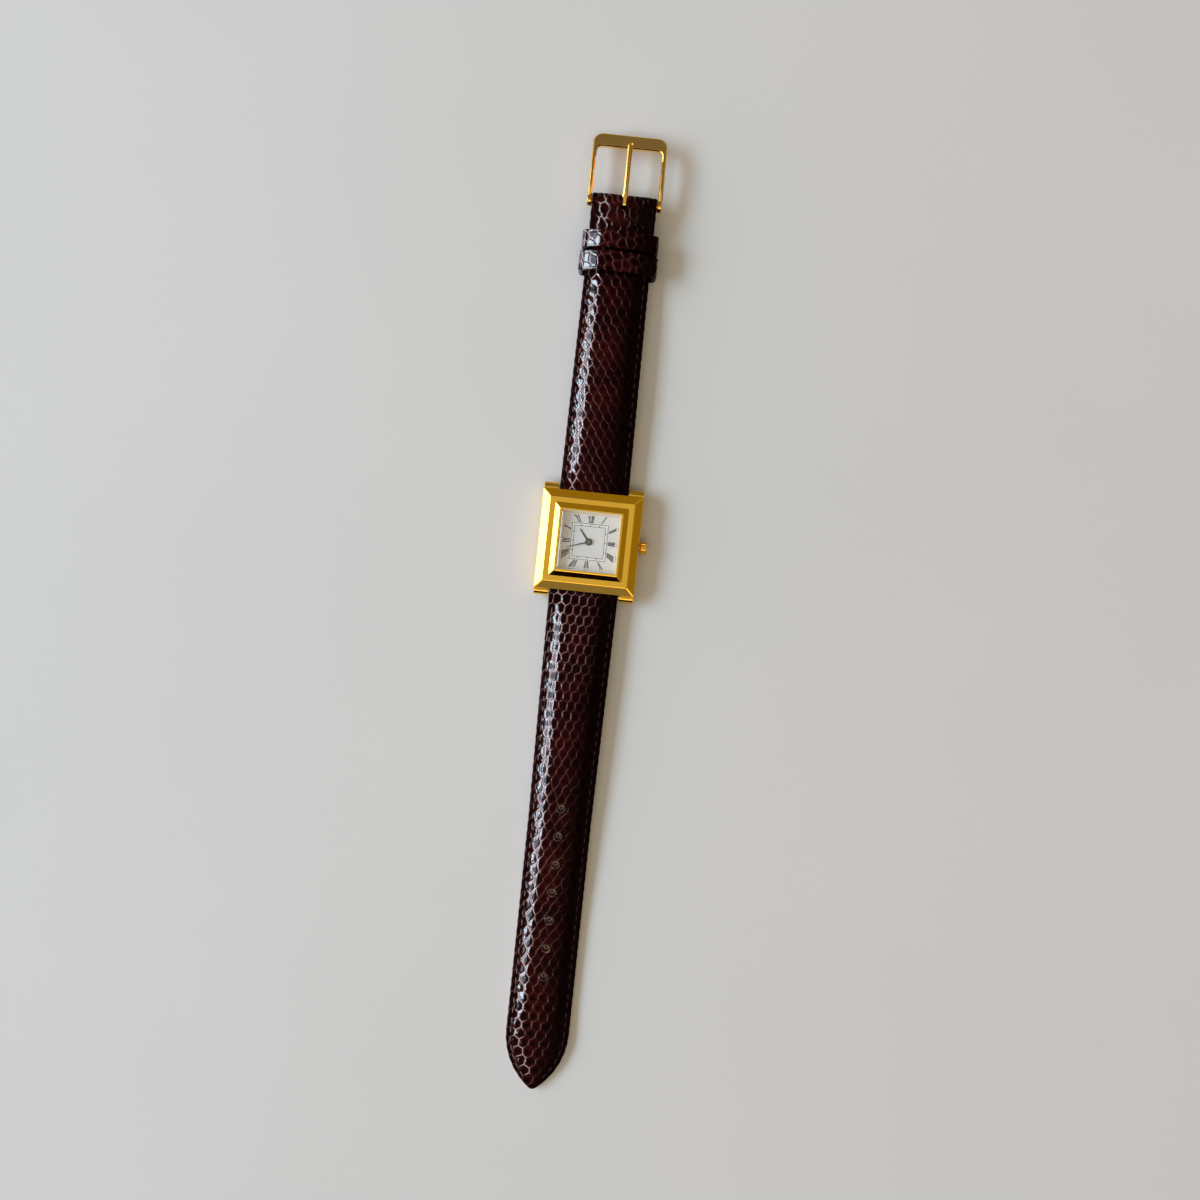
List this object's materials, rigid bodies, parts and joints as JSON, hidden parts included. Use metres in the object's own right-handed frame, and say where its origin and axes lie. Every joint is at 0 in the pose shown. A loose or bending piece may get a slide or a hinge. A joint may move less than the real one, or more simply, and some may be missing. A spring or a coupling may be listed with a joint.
{
  "type": "square wristwatch",
  "caption": "Small square quartz dress watch with a stepped gold case, fluted crown, leather strap with keepers, and a tongue buckle.",
  "frame": {"origin": "centre of the case back's flat outer face, under the hands' axis, on the surface that the watch lies on", "axes": "+Z out of the dial, +Y towards 12 o'clock and the buckle, +X towards the crown"},
  "size_m": [0.0242, 0.2146, 0.0071],
  "materials": {
    "gold": "polished",
    "steel": "brushed",
    "glass": "polished",
    "dial_silver": "satin",
    "hand_grey": "polished",
    "leather_dark": "lizard grain, glossy",
    "leather_lining": "matt",
    "padding": "matt",
    "rubber": "matt",
    "holder_plastic": "matt",
    "brass": "satin",
    "copper": "enamelled wire",
    "board": "varnished",
    "can": "polished"
  },
  "bodies": {
    "case": {"case_middle": "gold", "case_back": "steel", "case_back_screws": "steel", "case_back_gasket": "rubber", "crystal": "glass", "crystal_gasket": "holder_plastic", "dial": "dial_silver", "spring_bars": "steel", "crown_tube": "steel", "main_plate": "brass", "train_bridge": "brass", "movement_screws": "steel", "movement_holder": "holder_plastic", "battery_cell": "steel", "battery_clamp": "steel", "coil_core": "steel", "coil_winding": "copper", "stator": "steel", "circuit_board": "board", "quartz_can": "can"},
    "minute_hand_group": {"minute_hand": "hand_grey", "cannon_pinion": "brass", "centre_wheel": "brass"},
    "hour_hand_group": {"hour_hand": "hand_grey", "hour_wheel": "brass"},
    "minute_wheel": {"minute_wheel": "brass"},
    "third_wheel": {"third_wheel": "brass"},
    "intermediate_wheel": {"intermediate_wheel": "brass"},
    "rotor": {"rotor": "steel"},
    "clutch_pinion": {"clutch_pinion": "steel"},
    "crown_and_stem": {"crown": "gold", "crown_gasket": "rubber", "winding_stem": "steel"},
    "setting_lever": {"setting_lever": "steel"},
    "long_strap": {"long_strap_upper": "leather_dark", "long_strap_padding": "padding", "long_strap_lining": "leather_lining"},
    "short_strap": {"short_strap_upper": "leather_dark", "short_strap_padding": "padding", "short_strap_lining": "leather_lining", "fixed_keeper": "leather_dark"},
    "free_keeper": {"free_keeper": "leather_dark"},
    "buckle_frame": {"buckle_frame": "gold", "buckle_bar": "gold"},
    "buckle_tongue": {"buckle_tongue": "gold"}
  },
  "joints": [
    {"name": "minute_turn", "type": "hinge", "parent": "case", "child": "minute_hand_group", "pos_m": [0, 0, 0.0042], "axis": [0, 0, 1], "continuous": true},
    {"name": "hour_turn", "type": "hinge", "parent": "case", "child": "hour_hand_group", "pos_m": [0, 0, 0.004], "axis": [0, 0, 1], "continuous": true},
    {"name": "minute_wheel_turn", "type": "hinge", "parent": "case", "child": "minute_wheel", "pos_m": [0.00154, -0.00184, 0.0031], "axis": [0, 0, 1], "continuous": true},
    {"name": "third_wheel_turn", "type": "hinge", "parent": "case", "child": "third_wheel", "pos_m": [-0.00084, 0.00145, 0.0021], "axis": [0, 0, 1], "continuous": true},
    {"name": "intermediate_wheel_turn", "type": "hinge", "parent": "case", "child": "intermediate_wheel", "pos_m": [-0.00207, 0.00248, 0.0018], "axis": [0, 0, 1], "continuous": true},
    {"name": "rotor_turn", "type": "hinge", "parent": "case", "child": "rotor", "pos_m": [-0.00334, 0.00322, 0.0023], "axis": [0, 0, 1], "continuous": true},
    {"name": "crown_turn", "type": "hinge", "parent": "case", "child": "clutch_pinion", "pos_m": [0.00415, 0, 0.0022], "axis": [1, 0, 0], "continuous": true},
    {"name": "crown_pull", "type": "slide", "parent": "clutch_pinion", "child": "crown_and_stem", "axis": [1, 0, 0], "range_m": [0, 0.0007]},
    {"name": "setting_lever_swing", "type": "hinge", "parent": "case", "child": "setting_lever", "pos_m": [0.0053, -0.00152, 0.0032], "axis": [0, 0, 1], "range_deg": [-26, 0]},
    {"name": "long_strap_swing", "type": "hinge", "parent": "case", "child": "long_strap", "pos_m": [0, -0.0115, 0.002], "axis": [-1, 0, 0], "range_deg": [-80, 40]},
    {"name": "short_strap_swing", "type": "hinge", "parent": "case", "child": "short_strap", "pos_m": [0, 0.0115, 0.002], "axis": [1, 0, 0], "range_deg": [-80, 40]},
    {"name": "free_keeper_slide", "type": "slide", "parent": "short_strap", "child": "free_keeper", "axis": [0, 1, 0], "range_m": [-0.028, 0.0006]},
    {"name": "buckle_swing", "type": "hinge", "parent": "short_strap", "child": "buckle_frame", "pos_m": [0, 0.07595, 0.0034], "axis": [1, 0, 0], "range_deg": [-70, 25]},
    {"name": "tongue_lift", "type": "hinge", "parent": "buckle_frame", "child": "buckle_tongue", "pos_m": [0, 0.07595, 0.0034], "axis": [1, 0, 0], "range_deg": [0, 75]}
  ],
  "couplings": [
    {"joint": "hour_turn", "follows": "minute_turn", "ratio": 0.083333},
    {"joint": "minute_wheel_turn", "follows": "minute_turn", "ratio": -0.33333},
    {"joint": "third_wheel_turn", "follows": "minute_turn", "ratio": -5},
    {"joint": "intermediate_wheel_turn", "follows": "minute_turn", "ratio": 15},
    {"joint": "rotor_turn", "follows": "minute_turn", "ratio": -90},
    {"joint": "setting_lever_swing", "follows": "crown_pull", "rad_per_m": -646.87}
  ]
}
